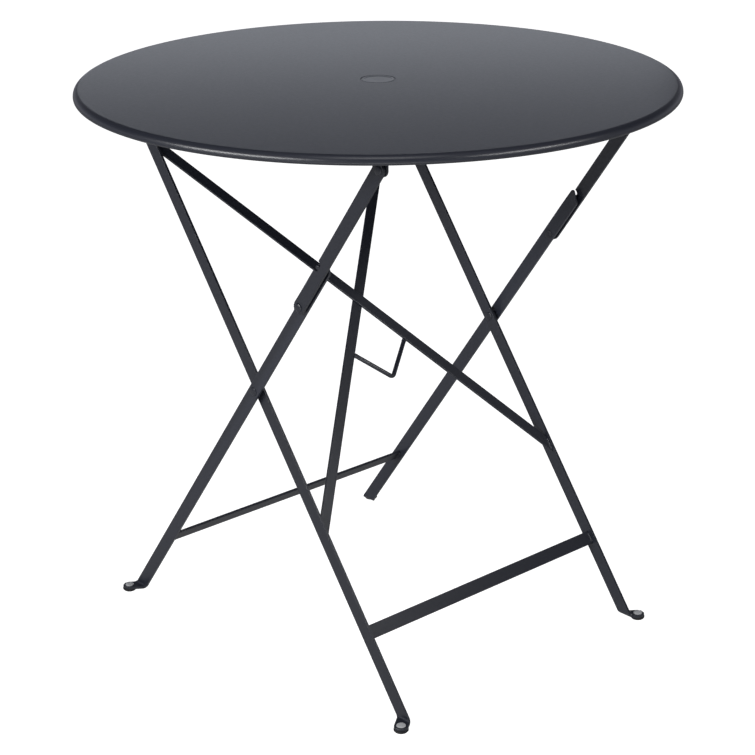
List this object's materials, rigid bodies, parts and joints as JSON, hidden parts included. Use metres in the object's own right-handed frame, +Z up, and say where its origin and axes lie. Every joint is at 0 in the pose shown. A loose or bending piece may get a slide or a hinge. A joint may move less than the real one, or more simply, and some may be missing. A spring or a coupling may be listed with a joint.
{
  "type": "folding bistro table",
  "caption": "Folding round bistro table: flat pressed-steel top with a rolled rim and covered parasol hole, on crossed flat-bar leg frames with knee links.",
  "frame": {"origin": "on the floor under the middle of the top", "axes": "+Z up, +X in the direction in which the legs cross, +Y along the hinge axes"},
  "size_m": [0.7699, 0.77, 0.74],
  "materials": {
    "powder_coat": "satin anthracite powder coat",
    "coated_rivet": "satin anthracite powder coat over steel rivets",
    "black_plastic": "matte moulded",
    "cap_plastic": "satin moulded, matched to the coating",
    "grey_stud": "light grey moulded"
  },
  "bodies": {
    "braced_frame": {"left_braced_leg": "powder_coat", "right_braced_leg": "powder_coat", "braced_stretcher": "powder_coat", "front_brace": "powder_coat", "back_brace": "powder_coat", "parasol_guide": "powder_coat", "left_rear_hinge_rivet": "coated_rivet", "left_braced_glide": "black_plastic", "left_braced_stud": "grey_stud", "left_scissor_washer": "coated_rivet", "left_scissor_rivet": "coated_rivet", "right_rear_hinge_rivet": "coated_rivet", "right_braced_glide": "black_plastic", "right_braced_stud": "grey_stud", "right_scissor_washer": "coated_rivet", "right_scissor_rivet": "coated_rivet"},
    "linked_frame": {"left_linked_leg": "powder_coat", "right_linked_leg": "powder_coat", "linked_stretcher": "powder_coat", "left_knee_stop": "coated_rivet", "left_knee_rivet": "coated_rivet", "left_knee_washer": "coated_rivet", "left_linked_glide": "black_plastic", "left_linked_stud": "grey_stud", "right_knee_stop": "coated_rivet", "right_knee_rivet": "coated_rivet", "right_knee_washer": "coated_rivet", "right_linked_glide": "black_plastic", "right_linked_stud": "grey_stud"},
    "knee_links": {"left_knee_link": "powder_coat", "right_knee_link": "powder_coat"},
    "top": {"table_top": "powder_coat", "left_top_rail": "powder_coat", "right_top_rail": "powder_coat", "left_front_hinge_rivet": "coated_rivet", "left_front_hinge_washer": "coated_rivet", "left_rear_hinge_pin": "coated_rivet", "right_front_hinge_rivet": "coated_rivet", "right_front_hinge_washer": "coated_rivet", "right_rear_hinge_pin": "coated_rivet"},
    "cap": {"parasol_cap": "cap_plastic"}
  },
  "joints": [
    {"name": "scissor_fold", "type": "hinge", "parent": "braced_frame", "child": "linked_frame", "pos_m": [0, 0, 0.3722], "axis": [0, -1, 0], "range_deg": [0, 69.62]},
    {"name": "knee_fold", "type": "hinge", "parent": "linked_frame", "child": "knee_links", "pos_m": [0.10117, 0, 0.51141], "axis": [0, 1, 0], "range_deg": [0, 172.25]},
    {"name": "top_hinge", "type": "hinge", "parent": "knee_links", "child": "top", "pos_m": [0.2455, 0, 0.71], "axis": [0, -1, 0], "range_deg": [0, 52.16]},
    {"name": "cap_lift", "type": "slide", "parent": "top", "child": "cap", "axis": [0, 0, 1], "range_m": [0, 0.12]}
  ],
  "couplings": [
    {"joint": "knee_fold", "follows": "scissor_fold", "ratio": 2.4738},
    {"joint": "top_hinge", "follows": "scissor_fold", "ratio": 0.74894}
  ]
}
